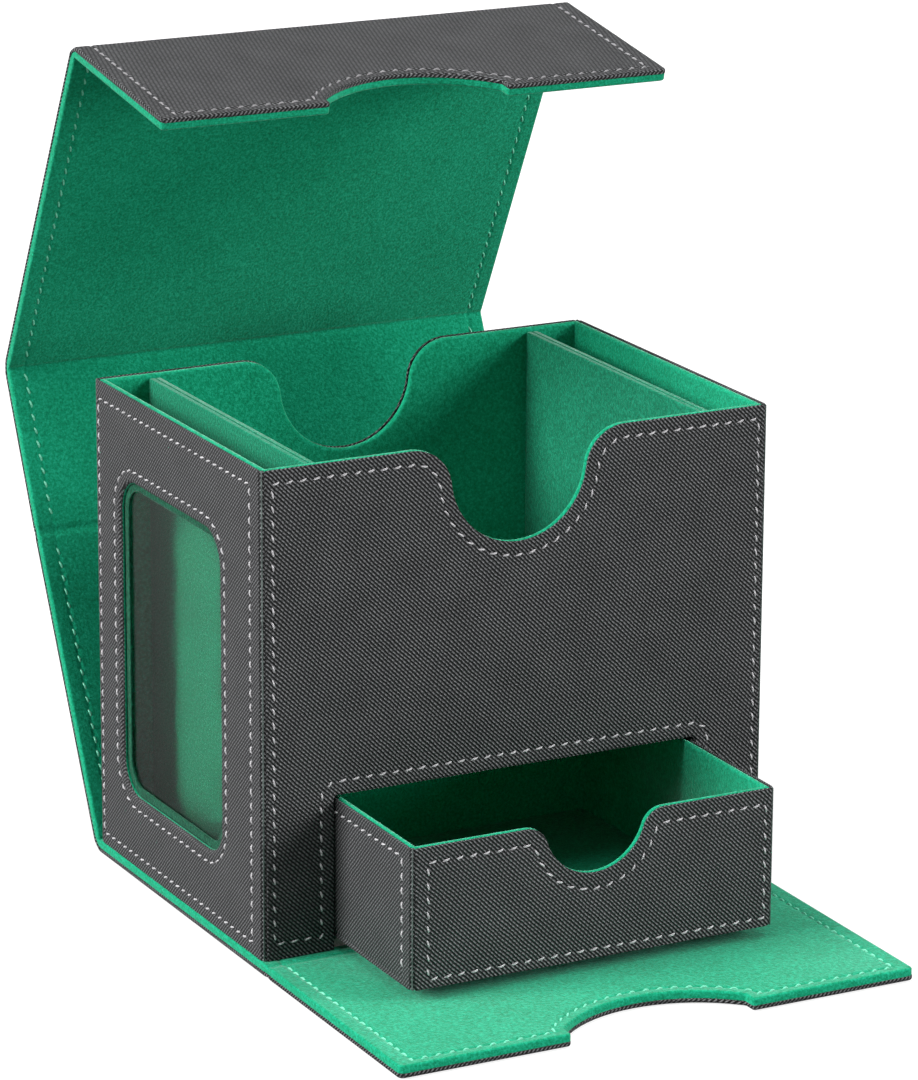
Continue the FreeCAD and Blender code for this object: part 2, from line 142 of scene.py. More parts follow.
def add_camera():
    """In front of the box, to its left and above it."""
    azimuth, elevation = CAMERA_AZIMUTH, CAMERA_ELEVATION
    back = Vector((math.sin(azimuth) * math.cos(elevation), -math.cos(azimuth) * math.cos(elevation),
                   math.sin(elevation)))
    right = Vector((math.cos(azimuth), math.sin(azimuth), 0))
    up = back.cross(right)
    across = right * math.cos(CAMERA_ROLL) + up * math.sin(CAMERA_ROLL)
    upward = up * math.cos(CAMERA_ROLL) - right * math.sin(CAMERA_ROLL)
    foot = low_high("front_leather")[0]
    place = foot + across * AIM_RIGHT + upward * AIM_UP + back * CAMERA_DISTANCE
    data = bpy.data.cameras.new("camera")
    data.lens = LENS
    data.clip_end = 20
    camera = bpy.data.objects.new("camera", data)
    turn = Matrix((across, upward, back)).transposed().to_4x4()
    camera.matrix_world = Matrix.Translation(place * MM) @ turn
    bpy.context.scene.collection.objects.link(camera)
    bpy.context.scene.camera = camera


# ---------------------------------------------------------------- materials

class Nodes:
    """Short calls for building one material's node tree."""

    def __init__(self, name):
        self.material = bpy.data.materials.new(name)
        self.material.use_nodes = True
        self.tree = self.material.node_tree
        self.shader = self.tree.nodes["Principled BSDF"]

    def add(self, kind, inputs=(), **settings):
        node = self.tree.nodes.new(kind)
        for key, value in settings.items():
            setattr(node, key, value)
        for key, value in dict(inputs).items():
            self.feed(node.inputs[key], value)
        return node

    def feed(self, socket, value):
        if isinstance(value, bpy.types.NodeSocket):
            self.tree.links.new(value, socket)
        else:
            socket.default_value = value

    def calc(self, operation, first, second=0.0, clamp=False):
        node = self.add("ShaderNodeMath", {0: first, 1: second}, operation=operation, use_clamp=clamp)
        return node.outputs[0]

    def mix(self, factor, first, second):
        node = self.add("ShaderNodeMix", data_type="RGBA")
        for key, value in ((0, factor), (6, first), (7, second)):
            self.feed(node.inputs[key], value)
        return node.outputs[2]

    def noise(self, vector, scale, detail=2.0, rough=0.5):
        node = self.add("ShaderNodeTexNoise", {"Vector": vector, "Scale": scale, "Detail": detail,
                                               "Roughness": rough})
        return node.outputs[0]

    def ramp(self, value, stops):
        node = self.add("ShaderNodeValToRGB", {0: value})
        elements = node.color_ramp.elements
        while len(elements) < len(stops):
            elements.new(0.5)
        for element, (position, colour) in zip(elements, stops):
            element.position = position
            element.color = colour
        return node.outputs[0]

    def bump(self, height, distance, strength):
        inputs = {"Height": height, "Distance": distance, "Strength": strength}
        return self.add("ShaderNodeBump", inputs).outputs[0]

    def place(self):
        """The place on the piece, in metres."""
        return self.add("ShaderNodeTexCoord").outputs["Object"]

    def set(self, **values):
        """Give the shader its values, and return the material."""
        for key, value in values.items():
            self.feed(self.shader.inputs[key.replace("_", " ")], value)
        return self.material


def rgb(red, green, blue):
    return (red, green, blue, 1.0)


TWILL = 0.76               # across one embossed line
LUMP = 1.2                 # along one embossed line
LUMP_SHIFT = 0.41          # of a lump, from one line to the next


def leather_material(name, dark, light, relief):
    """Imitation leather embossed with slanting lines of small lumps, mapped in millimetres. The lumps are
    coloured light grey and the gaps near black: painted highlight and painted shade on the embossing.
    """
    n = Nodes(name)
    uv = n.add("ShaderNodeUVMap", uv_map="weave").outputs[0]
    parts = n.add("ShaderNodeSeparateXYZ", {0: uv})
    wander = n.noise(uv, 0.35, 1.0)
    across = n.calc("DIVIDE", n.calc("ADD", parts.outputs[0], parts.outputs[1]), TWILL * math.sqrt(2))
    across = n.calc("ADD", across, n.calc("MULTIPLY", wander, 0.5))
    along = n.calc("DIVIDE", n.calc("SUBTRACT", parts.outputs[0], parts.outputs[1]), LUMP * math.sqrt(2))
    row = n.calc("FLOOR", across)
    wave = n.calc("COSINE", n.calc("MULTIPLY", across, 2 * math.pi))
    line = n.calc("ADD", n.calc("MULTIPLY", wave, -0.5), 0.5)
    shifted = n.calc("ADD", along, n.calc("MULTIPLY", row, LUMP_SHIFT))
    lump = n.calc("ABSOLUTE", n.calc("COSINE", n.calc("MULTIPLY", shifted, math.pi)))
    height = n.calc("MULTIPLY", line, n.calc("ADD", n.calc("MULTIPLY", lump, 0.55), 0.45))
    grain = n.noise(uv, 4.5, 2.0)
    patch = n.noise(uv, 0.09, 2.0)
    # the lumps' light colour is painted highlight, the near-black gaps painted shade
    tone = n.calc("MULTIPLY", height, n.calc("ADD", n.calc("MULTIPLY", grain, 0.7), 0.65))
    tone = n.calc("MULTIPLY", tone, n.calc("ADD", n.calc("MULTIPLY", patch, 0.4), 0.8))
    tone = n.calc("POWER", n.calc("MULTIPLY", tone, 1.15, clamp=True), 2.2, clamp=True)
    normal = n.bump(n.calc("ADD", height, n.calc("MULTIPLY", grain, 0.3)), relief, 0.9)
    rough = n.calc("SUBTRACT", 0.7, n.calc("MULTIPLY", height, 0.2))
    return n.set(Base_Color=n.mix(tone, dark, light), Normal=normal, Roughness=rough,
                 Specular_IOR_Level=0.25)


def suede_material(name, dark, middle, light):
    """Microfibre suede: a short nap that lies unevenly, mottled at a millimetre and below."""
    n = Nodes(name)
    place = n.place()
    nap = n.noise(place, 1500, 3.0, 0.6)
    hair = n.noise(place, 3200, 2.0, 0.6)
    brushed = n.noise(place, 60, 2.0, 0.5)
    mottle = n.calc("ADD", n.calc("MULTIPLY", nap, 0.7), n.calc("MULTIPLY", hair, 0.3))
    mottle = n.calc("ADD", mottle, n.calc("MULTIPLY", n.calc("SUBTRACT", brushed, 0.5), 0.1))
    colour = n.ramp(mottle, ((0.36, dark), (0.5, middle), (0.64, light)))
    normal = n.bump(mottle, 0.0004, 0.7)
    return n.set(Base_Color=colour, Normal=normal, Roughness=0.92, Specular_IOR_Level=0.12,
                 Sheen_Weight=0.32, Sheen_Roughness=0.35, Sheen_Tint=rgb(0.75, 1.0, 0.9))


def thread_material(name, dark, light):
    """Twisted polyester sewing thread."""
    n = Nodes(name)
    place = n.place()
    strand = n.add("ShaderNodeTexWave", {"Vector": place, "Scale": 900.0, "Distortion": 2.0},
                   bands_direction="DIAGONAL").outputs[1]
    fuzz = n.noise(place, 1500, 2.0)
    tone = n.calc("ADD", n.calc("MULTIPLY", strand, 0.5), n.calc("MULTIPLY", fuzz, 0.5), clamp=True)
    return n.set(Base_Color=n.mix(tone, dark, light), Normal=n.bump(strand, 0.00006, 0.6),
                 Roughness=0.55, Sheen_Weight=0.2)


def corner_highlight_material():
    """The thin raised line in each upright corner: a painted grey-green highlight with a painted green
    reflection, uneven along its length.
    """
    n = Nodes("corner_line_painted_highlight")
    place = n.place()
    patchiness = n.noise(place, 1400, 3.0, 0.6)
    colour = n.ramp(patchiness, ((0.35, rgb(0.02, 0.032, 0.029)), (0.65, rgb(0.11, 0.14, 0.13))))
    return n.set(Base_Color=colour, Roughness=0.6, Normal=n.bump(patchiness, 0.0001, 0.5))


def board_material():
    """Grey pressed board, with its flecks."""
    n = Nodes("greyboard")
    place = n.place()
    fleck = n.noise(place, 900, 4.0, 0.7)
    colour = n.ramp(fleck, ((0.35, rgb(0.16, 0.15, 0.14)), (0.55, rgb(0.3, 0.29, 0.27)),
                            (0.7, rgb(0.42, 0.4, 0.37))))
    return n.set(Base_Color=colour, Normal=n.bump(fleck, 0.0001, 0.4), Roughness=0.95)


def magnet_material():
    """Nickel plate, a little scuffed."""
    n = Nodes("nickel")
    place = n.place()
    patchiness = n.noise(place, 700, 3.0)
    rough = n.calc("ADD", n.calc("MULTIPLY", patchiness, 0.25), 0.15)
    return n.set(Base_Color=rgb(0.62, 0.61, 0.6), Metallic=1.0, Roughness=rough,
                 Normal=n.bump(patchiness, 0.00003, 0.3))


def pane_material():
    """Clear soft plastic sheet: glossy, faintly green, a little wavy."""
    n = Nodes("clear_sheet")
    place = n.place()
    wave = n.noise(place, 35, 1.0)
    haze = n.noise(place, 250, 2.0)
    colour = n.mix(haze, rgb(0.93, 0.98, 0.96), rgb(0.98, 1.0, 0.99))
    return n.set(Base_Color=colour, Normal=n.bump(wave, 0.0006, 0.25), Roughness=0.05,
                 Transmission_Weight=1.0, IOR=1.14)


# the light colour is painted highlight on the lumps, the dark one painted shade in the gaps
LEATHER = leather_material("black_leather", rgb(0.0025, 0.0025, 0.003), rgb(0.165, 0.168, 0.174),
                           0.0004)
# a copy of the leather for the side walls, with lighter gaps and darker lumps: painted flat light, as on
# walls that face the lamps
LEATHER_SIDE_PAINTED_LIGHT = leather_material("black_leather_side", rgb(0.02, 0.02, 0.021), rgb(0.12, 0.122, 0.127),
                                0.0003)
# painted highlight for the thin lines in the upright corners
CORNER_HIGHLIGHT = corner_highlight_material()
SUEDE = suede_material("green_suede", rgb(0.001, 0.18, 0.083), rgb(0.003, 0.265, 0.134),
                       rgb(0.012, 0.37, 0.21))
# a darker copy of the suede for the dividers: painted shade of the narrow slots
SUEDE_DIVIDER_SHADE = suede_material("green_suede_divider_shade", rgb(0.001, 0.1, 0.05), rgb(0.003, 0.16, 0.083),
                             rgb(0.01, 0.24, 0.135))
# a much darker copy of the suede for the window bands: painted shade in the recess
SUEDE_WINDOW_SHADE = suede_material("green_suede_window_shade", rgb(0.001, 0.03, 0.015), rgb(0.003, 0.06, 0.03),
                            rgb(0.01, 0.11, 0.06))
LIGHT_THREAD = thread_material("light_thread", rgb(0.25, 0.245, 0.255), rgb(0.62, 0.605, 0.625))
COVER_THREAD = thread_material("cover_thread", rgb(0.1, 0.1, 0.105), rgb(0.3, 0.295, 0.305))
GREEN_THREAD = thread_material("green_thread", rgb(0.05, 0.42, 0.26), rgb(0.2, 0.72, 0.5))


# ---------------------------------------------------------------- drawing

def facing(origin, along, normal):
    """A flat frame in millimetres: its y runs along, its z is the normal, placed in metres."""
    lateral = along.cross(normal)
    turn = Matrix((lateral, along, normal)).transposed().to_4x4()
    return Matrix.Scale(MM, 4) @ Matrix.Translation(origin) @ turn


ROW = Matrix.Scale(MM, 4)              # for what is drawn straight in the part's own frame


def rounded(before, corner, after, inset):
    """The points round one corner (x, y, radius) of an outline, moved inwards by inset."""
    here, radius = Vector(corner[:2]), corner[2]
    heading = (here - Vector(before[:2])).normalized()
    leaving = (Vector(after[:2]) - here).normalized()
    turn = math.atan2(heading.cross(leaving), heading.dot(leaving))
    left, left_after = Vector((-heading.y, heading.x)), Vector((-leaving.y, leaving.x))
    moved = here + (left + left_after) * (inset / (1 + left.dot(left_after)))
    bend = math.copysign(1, turn)
    size = max(radius - bend * inset, 0.02)
    start = moved - heading * size * math.tan(abs(turn) / 2)
    centre = start + left * bend * size
    steps = 4 if radius < 3 else max(4, round(abs(turn) / math.radians(5)))
    return [centre + Matrix.Rotation(turn * step / steps, 2) @ (start - centre)
            for step in range(steps + 1)]


def ring(corners, inset=0.0):
    """A rounded outline, counter-clockwise, moved inwards. It has as many points at every inset."""
    points = []
    for index, corner in enumerate(corners):
        for point in rounded(corners[index - 1], corner, corners[(index + 1) % len(corners)], inset):
            if not points or (point - points[-1]).length > 0.001:
                points.append(point)
    return points


def notch_corners(rim, radius, depth, shoulder):
    """A U notch with rounded shoulders in a rim, as four corners from right to left."""
    centre = rim - depth + radius
    spread = math.sqrt((radius + shoulder) ** 2 - (centre - rim + shoulder) ** 2)
    lean = math.atan2(rim - shoulder - centre, spread)
    touch = Vector((radius * math.cos(lean), centre + radius * math.sin(lean)))
    slope = -math.tan(lean)
    top = touch.x + slope * (rim - touch.y)
    bottom = touch.x - slope * (touch.y - rim + depth)
    return [(top, rim, shoulder), (bottom, rim - depth, radius),
            (-bottom, rim - depth, radius), (-top, rim, shoulder)]


def wall_outline(half, bottom, top, notch=None, door=None, corner=0.5):
    """A wall seen from outside, with an optional notch in its rim and doorway in its foot."""
    corners = [(-half, bottom, corner)]
    if door:
        door_half, door_top = door
        corners += [(-door_half, bottom, corner), (-door_half, door_top, 1.0), (door_half, door_top, 1.0),
                    (door_half, bottom, corner)]
    corners += [(half, bottom, corner), (half, top, corner)]
    if notch:
        corners += notch_corners(top, **notch)
    return corners + [(-half, top, corner)]


def flap_outline(half, start, end):
    """A flap whose free edge has a shallow arc cut into it."""
    corner = PANEL_CORNER
    side, radius, depth = CUTOUT["half"], CUTOUT["radius"], CUTOUT["depth"]
    drop = math.sqrt(radius ** 2 - side ** 2)
    step = end - depth + radius - drop
    apex = step - side * side / drop
    return [(-half, start, corner), (half, start, corner), (half, end, corner), (side, end, 0.9),
            (side, step, 0.9), (0, apex, radius - 1.0), (-side, step, 0.9), (-side, end, 0.9),
            (-half, end, corner)]


def oblong(left, right, low, high, radius):
    return [(left, low, radius), (right, low, radius), (right, high, radius), (left, high, radius)]


def rectangle(half, low, high, radius):
    """An oblong with its middle at x = 0."""
    return oblong(-half, half, low, high, radius)


def shift_sides(corners, half, left, right):
    """An outline with its left and right upright edges moved along x."""
    moved = []
    for x, z, radius in corners:
        step = left if x < 1 - half else right if x > half - 1 else 0.0
        moved.append((x + step, z, radius))
    return moved


def edge_profile(low, high, radius, under=0.1):
    """Insets and heights up a sheet's rounded edge, from its underside to just inside its top."""
    steps = 5
    profile = [(under, low), (0.0, low + under)]
    for step in range(steps + 1):
        angle = math.pi / 2 * step / steps
        profile.append((radius * (1 - math.cos(angle)), high - radius * (1 - math.sin(angle))))
    return profile + [(radius + 0.12, high)]


def groove_profile(high):
    """Insets and heights across the dip that a row of stitches pulls into a sheet."""
    half, depth = GROOVE_HALF, GROOVE_DEPTH
    shape = ((-1.6, 0.0), (-1.0, 0.2), (-0.4, 0.85), (0.0, 1.0), (0.4, 0.85), (1.0, 0.2), (1.6, 0.0))
    return [(share * half, high - dip * depth) for share, dip in shape]


def loop(bm, corners, inset, height):
    return [bm.verts.new((p.x, p.y, height)) for p in ring(corners, inset)]


def strip(bm, loops):
    """Faces between each loop and the next."""
    for lower, upper in zip(loops, loops[1:]):
        count = len(lower)
        for i in range(count):
            j = (i + 1) % count
            bm.faces.new((lower[i], lower[j], upper[j], upper[i]))


def fill(bm, *loops):
    """A flat face inside the first loop and outside the others."""
    edges = []
    for verts in loops:
        for i, vert in enumerate(verts):
            after = verts[(i + 1) % len(verts)]
            edges.append(bm.edges.get((vert, after)) or bm.edges.new((vert, after)))
    bmesh.ops.triangle_fill(bm, use_beauty=True, use_dissolve=False, edges=edges)


def sheet(corners, low, high, radius, seam=None, holes=(), bottom=None):
    """A flat sheet with rounded edges, grooves under its seams, and holes.

    seam is (corners, inset). Each hole is (corners, distance of its seam or None, depth of the lip
    turned into it). bottom gives insets and heights before those of the sheet's edge.
    """
    bm = bmesh.new()
    profile = (bottom or []) + edge_profile(low, high, radius)
    rim = [loop(bm, corners, inset, height) for inset, height in profile]
    strip(bm, rim)
    under, over = [rim[0]], [rim[-1]]
    if seam:
        seam_corners, inset = seam
        rows = [loop(bm, seam_corners, inset + step, height) for step, height in groove_profile(high)]
        strip(bm, rows)
        fill(bm, rim[-1], rows[0])
        over = [rows[-1]]
    for hole, hole_seam, lip in holes:
        if lip:
            turned = [(0.45, low), (0.45, low - lip + 0.1), (0.35, low - lip), (0.0, low - lip)]
            profile = turned + edge_profile(low, high, LIP_RADIUS)[2:]
        else:
            profile = edge_profile(low, high, radius, under=0.05)
        rows = [loop(bm, hole, -inset, height) for inset, height in profile]
        strip(bm, rows)
        under.append(rows[0])
        if hole_seam:
            grooves = [loop(bm, hole, -hole_seam + step, height) for step, height in groove_profile(high)]
            strip(bm, grooves)
            fill(bm, grooves[-1], rows[-1])
            over.append(grooves[0])
        else:
            over.append(rows[-1])
    fill(bm, *under)
    fill(bm, *over)
    return bm


def cut_off(bm, y, keep_above):
    """Slice the mesh straight across at y, drop one side and close the cut."""
    direction = (0, -1, 0) if keep_above else (0, 1, 0)
    geometry = bm.verts[:] + bm.edges[:] + bm.faces[:]
    cut = bmesh.ops.bisect_plane(bm, geom=geometry, dist=1e-5, plane_co=(0, y, 0), plane_no=direction,
                                 clear_outer=True)["geom_cut"]
    edges = [item for item in cut if isinstance(item, bmesh.types.BMEdge)]
    bmesh.ops.triangle_fill(bm, use_beauty=True, use_dissolve=False, edges=edges)


def add_object(name, bm, place, material, body, replaces=(), mirror=False, mapped=False):
    """Turn a drawn mesh into a piece that rides on a body, or on none when no body is given."""
    bmesh.ops.remove_doubles(bm, verts=bm.verts, dist=0.003)
    bmesh.ops.dissolve_degenerate(bm, dist=0.001, edges=bm.edges)
    bmesh.ops.recalc_face_normals(bm, faces=bm.faces)
    if not mapped:
        map_weave(bm, mirror)
    for edge in bm.edges:
        edge.smooth = edge.calc_face_angle(0) < math.radians(40)
    for face in bm.faces:
        face.smooth = True
    bm.transform(place)
    if place.determinant() < 0:
        bmesh.ops.reverse_faces(bm, faces=bm.faces)
    mesh = bpy.data.meshes.new(name)
    bm.to_mesh(mesh)
    bm.free()
    mesh.materials.append(material)
    piece = bpy.data.objects.new(name, mesh)
    bpy.context.scene.collection.objects.link(piece)
    if body:
        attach(piece, body)
    if replaces:
        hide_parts(*replaces)
    return piece


def map_weave(bm, mirror):
    """Map each face flat, in millimetres, along the axis that it faces."""
    layer = bm.loops.layers.uv.new("weave")
    for face in bm.faces:
        axis = max(range(3), key=lambda i: abs(face.normal[i]))
        for corner in face.loops:
            x, y, z = corner.vert.co
            u, v = ((y, z), (x, z), (x, y))[axis]
            corner[layer].uv = (-u if mirror else u, v)


# ---------------------------------------------------------------- stitching

def spaced(points):
    """Places and directions one pitch apart round a closed path."""
    path = points + points[:1]
    lengths = [0.0]
    for here, there in zip(path, path[1:]):
        lengths.append(lengths[-1] + (there - here).length)
    count = max(1, round(lengths[-1] / PITCH))
    pitch = lengths[-1] / count
    places = []
    segment = 0
    for number in range(count):
        reach = (number + 0.5) * pitch
        while segment < len(path) - 2 and lengths[segment + 1] < reach:
            segment += 1
        here, there = path[segment], path[segment + 1]
        share = (reach - lengths[segment]) / max(lengths[segment + 1] - lengths[segment], 1e-9)
        places.append((here.lerp(there, share), (there - here).normalized()))
    return places


def add_stitches(name, paths, height, place, body, material, keep):
    """Slanted stitches along flat paths: each a short arched thread whose ends go into the sheet."""
    sides, stations = 6, 5
    bm = bmesh.new()
    for points in paths:
        for centre, heading in spaced(points):
            if not keep(centre):
                continue
            across = Vector((-heading.y, heading.x))
            length = STITCH_LENGTH * random.uniform(0.93, 1.07)
            slant = STITCH_SLANT * random.uniform(0.7, 1.3)
            rows = []
            for station in range(stations):
                t = 2 * station / (stations - 1) - 1
                spot = centre + heading * (t * length / 2) + across * (slant * t)
                lift = height - GROOVE_DEPTH + STITCH_RISE - STITCH_ARCH * t * t
                radius = STITCH_RADIUS * (1 - 0.35 * t * t)
                row = []
                for side in range(sides):
                    angle = 2 * math.pi * side / sides
                    offset = across * (radius * math.cos(angle))
                    row.append(bm.verts.new((spot.x + offset.x, spot.y + offset.y,
                                             lift + 0.85 * radius * math.sin(angle))))
                rows.append(row)
            strip(bm, rows)
            bm.faces.new(rows[0])
            bm.faces.new(rows[-1])
    add_object(name, bm, place, material, body)


# ---------------------------------------------------------------- walls, linings and corners

class Tub:
    """Four upright walls round a rectangle: the box's or the drawer's."""

    WALLS = ("front", "left", "back", "right")
    SIGNS = ((-1, -1), (-1, 1), (1, 1), (1, -1))       # of the corner after each wall
    TURN_STEPS = 6                                     # round a corner of the plan

    def __init__(self, name, body, low, high, skin, thick, round_off, notches):
        self.name, self.body = name, body
        self.middle = (low + high) / 2
        self.half_x, self.half_y = (high.x - low.x) / 2, (high.y - low.y) / 2
        self.bottom, self.top = low.z, high.z
        self.skin, self.thick, self.round_off = skin, thick, round_off
        self.notches = notches
        self.sides = {"front": (-Y, self.half_x, self.half_y), "left": (-X, self.half_y, self.half_x),
                      "back": (Y, self.half_x, self.half_y), "right": (X, self.half_y, self.half_x)}

    def place(self, side):
        """The flat frame of one wall's outer face: x to the right as seen from outside, y up."""
        normal, _, reach = self.sides[side]
        return facing(Vector((self.middle.x, self.middle.y, 0)) + normal * reach, Z, normal)

    def outline(self, side, door=None):
        """The outline of one wall's leather, which ends at the corner strips."""
        half = self.half(side) - (self.round_off + CORNER_GAP)
        return wall_outline(half, self.bottom, self.top, self.notches.get(side), door)

    def point(self, side, x, z, depth):
        """A point behind a wall's outer face, in the part's own frame."""
        return self.place(side) @ Vector((x, z, -depth)) / MM

    def half(self, side):
        return self.sides[side][1]

    def pivot(self, number, inset):
        """The middle of a plan corner's round: 0 is front left, then clockwise from above."""
        sign_x, sign_y = self.SIGNS[number]
        return self.middle + Vector((sign_x * (self.half_x - inset), sign_y * (self.half_y - inset), 0))

    def corner(self, number, depth, height):
        """Points round the plan's corner after a wall."""
        inset = max(self.round_off, depth + 0.03)
        centre = self.pivot(number, inset)
        points = []
        for step in range(self.TURN_STEPS + 1):
            angle = math.radians(-90 - 90 * number - 90 / self.TURN_STEPS * step)
            points.append(Vector((centre.x + (inset - depth) * math.cos(angle),
                                  centre.y + (inset - depth) * math.sin(angle), height)))
        return points

    def rim_run(self, side, inset, depth):
        """The notch's part of the rim of one wall, from right to left."""
        if side not in self.notches:
            return []
        half = self.half(side)
        notch = notch_corners(self.top, **self.notches[side])
        corners = [(half, self.top, 0.5)] + notch + [(-half, self.top, 0.5)]
        points = []
        for before, here, after in zip(corners, corners[1:], corners[2:]):
            points += rounded(before, here, after, inset)
        return [self.point(side, p.x, p.y, depth) for p in points]

    def rim_profile(self):
        """Insets and depths of the lining over a wall's rim, from its outer foot to its inner one."""
        outer, inner = self.skin + 0.24, self.thick
        straight, round_top, steps = 1.3, 0.75, 8
        profile = [(straight, outer)]
        for step in range(steps + 1):
            angle = math.pi * step / steps
            profile.append((round_top * (1 - math.sin(angle)),
                            outer + (inner - outer) / 2 * (1 - math.cos(angle))))
        return profile + [(straight, inner)]

    def lining(self, low, replaces, door=None, windows=()):
        """One green lining all round the inside and over the rim, as a closed shell."""
        bm = bmesh.new()
        profile = self.rim_profile()
        rows, spans = [], []
        for inset, depth in profile:
            row, spans = [], []
            for number, side in enumerate(self.WALLS):
                first = len(row) - 1
                row += self.rim_run(side, inset, depth)
                row += self.corner(number, depth, self.top - inset)
                spans.append((first, len(row)))
            rows.append([bm.verts.new(point) for point in row])
        strip(bm, rows)
        feet = {}
        for face in (0, -1):
            row, depth = rows[face], profile[face][1]
            # each wall runs from the last point of one corner to the first point of the next
            for number, side in enumerate(self.WALLS):
                first, last = spans[number]
                half = self.half(side) - depth
                upper = [row[i] for i in range(first, last - self.TURN_STEPS)]
                foot = [(-half, low)]
                if door and side == "front":
                    door_half, door_top = door
                    foot += [(-door_half, low), (-door_half, door_top), (door_half, door_top),
                             (door_half, low)]
                foot += [(half, low)]
                lower = [bm.verts.new(self.point(side, x, z, depth)) for x, z in foot]
                hole = []
                if side in windows:
                    hole = [bm.verts.new(self.point(side, p.x, p.y, depth)) for p in ring(windows[side])]
                fill(bm, upper + lower, hole)
                feet[side, face] = (lower, hole)
        for side in self.WALLS:
            outer_foot, outer_hole = feet[side, 0]
            inner_foot, inner_hole = feet[side, -1]
            for i in range(len(outer_foot) - 1):
                bm.faces.new((outer_foot[i], outer_foot[i + 1], inner_foot[i + 1], inner_foot[i]))
            strip(bm, [outer_hole, inner_hole])
        # the plan corners between neighbouring walls, down the outer and the inner face
        for face in (0, -1):
            for number, side in enumerate(self.WALLS):
                last = spans[number][1]
                curve = rows[face][last - self.TURN_STEPS - 1:last]
                follower = self.WALLS[(number + 1) % 4]
                fill(bm, curve + [feet[follower, face][0][-1], feet[side, face][0][0]])
        add_object(f"{self.name}_lining", bm, ROW, SUEDE, self.body, replaces)

    def corner_strips(self, low, high):
        """Where two leathers meet at each upright corner: a dark seat and a thin raised line in it, the
        line coloured with painted highlight.

        Their sections are radii and shares of the quarter turn.
        """
        size, sink = self.round_off, 0.3
        seat = [(size - sink, share / 12) for share in range(13)]
        line = [(size - sink + 0.3 * math.sin(math.pi * share / 8), 0.5 + 0.14 * (share / 4 - 1))
                for share in range(9)]
        levels = ((0.15, low), (0.0, low + 0.25), (0.0, high - 0.3), (0.08, high - 0.1), (0.25, high))
        for label, section, back, material in (("seat", seat, size - self.skin - sink, LEATHER),
                                               ("line", line, size - 0.5, CORNER_HIGHLIGHT)):
            bm = bmesh.new()
            layer = bm.loops.layers.uv.new("weave")
            for number in range(4):
                centre = self.pivot(number, size)
                start = math.radians(-90 - 90 * number)
                rows = []
                for shrink, z in levels:
                    row = [(radius - shrink, share) for radius, share in section]
                    row += [(back, section[-1][1]), (back, section[0][1])]
                    rows.append([bm.verts.new((centre.x + radius * math.cos(start - share * math.pi / 2),
                                               centre.y + radius * math.sin(start - share * math.pi / 2),
                                               z)) for radius, share in row])
                strip(bm, rows)
                fill(bm, rows[0])
                fill(bm, rows[-1])
            for face in bm.faces:
                for corner in face.loops:
                    x, y, z = corner.vert.co
                    corner[layer].uv = (x + y, z)
            add_object(f"{self.name}_corner_{label}", bm, ROW, material, self.body, mapped=True)


def add_wall(tub, side, seam_corners, seam, replaces, door=None, holes=(), lowest=0.0):
    """One wall's leather, with its rows of stitches down to the lowest."""
    place = tub.place(side)
    mirror = side in ("left", "right")
    bm = sheet(tub.outline(side, door), -tub.skin, 0.0, WALL_EDGE, seam=(seam_corners, seam), holes=holes)
    # the side walls take the leather copy with painted flat light
    leather = LEATHER_SIDE_PAINTED_LIGHT if mirror else LEATHER
    add_object(f"{tub.name}_{side}_leather", bm, place, leather, tub.body, [replaces], mirror=mirror)
    paths = [ring(seam_corners, seam)] + [ring(hole, -hole_seam) for hole, hole_seam, _ in holes]
    height = -BACK_STITCH_SINK if side == "back" else 0.0
    add_stitches(f"{tub.name}_{side}_stitches", paths, height, place, tub.body, LIGHT_THREAD,
                 keep=lambda spot: spot.y > lowest)


# ---------------------------------------------------------------- the box

def build_box():
    """The fixed box: walls, lining, windows, doorway, dividers and floors."""
    low, high = low_high("front_leather")
    high = Vector((high.x, low_high("back_leather")[1].y, high.z))
    box = Tub("box", "box", low, high, SKIN, SKIN + BOARD + LINING, BOX_ROUND,
              {"front": NOTCH, "back": NOTCH})
    bottom, top = box.bottom, box.top
    door = (DOOR_HALF, low_high("shelf_board")[0].z)
    windows = {side: window_corners(side) for side in ("left", "right")}
    boards = [f"{side}_{layer}" for side in ("front", "back", "left", "right")
              for layer in ("board", "lining")]
    box.lining(low_high("floor_lining")[0].z, boards, door=door, windows=windows)
    box.corner_strips(bottom + 0.1, top)

    seam = wall_outline(box.half_x, bottom + BOX_SEAM_RISE, top - FRONT_SEAM_DROP, NOTCH, door)
    seam = shift_sides(seam, box.half_x, 0.0, FRONT_SEAM_SHIFT)
    add_wall(box, "front", seam, BOX_SEAM, "front_leather", door)
    seam = wall_outline(box.half_x, bottom + BOX_SEAM_RISE, top, NOTCH)
    add_wall(box, "back", seam, BOX_SEAM, "back_leather")
    front, rear = box.half_y - SIDE_SEAM_FRONT, box.half_y - SIDE_SEAM_REAR
    for side in ("left", "right"):
        left, right = (rear, front) if side == "left" else (front, rear)
        seam = oblong(-left, right, bottom, top - SIDE_SEAM_DROP, 0.5)
        add_wall(box, side, seam, BOX_SEAM, f"{side}_leather",
                 holes=[(windows[side], WINDOW_SEAM, LIP_DEPTH)])
        add_window_band(box, side)
    add_door_trim(box, door)
    add_dividers()
    add_box_floors()


def window_corners(side, inset=0.0):
    """The side window's outline as seen from outside, moved inwards."""
    low, high = low_high(f"{side}_window_frame")
    left, right = (-high.y, -low.y) if side == "left" else (low.y, high.y)
    return oblong(left + inset, right - inset, low.z + inset, high.z - inset, WINDOW_RADIUS - inset)


def add_window_band(box, side):
    """The green band round the opening, in front of the clear sheet, in a much darker copy of the suede:
    painted shade in the recess.
    """
    opening = window_corners(side, WINDOW_BAND)
    band = sheet(window_corners(side, -0.6), -BAND_BACK, -BAND_FRONT, 0.25, holes=[(opening, None, 0)])
    add_object(f"{side}_window_band", band, box.place(side), SUEDE_WINDOW_SHADE, "box", [f"{side}_window_frame"])


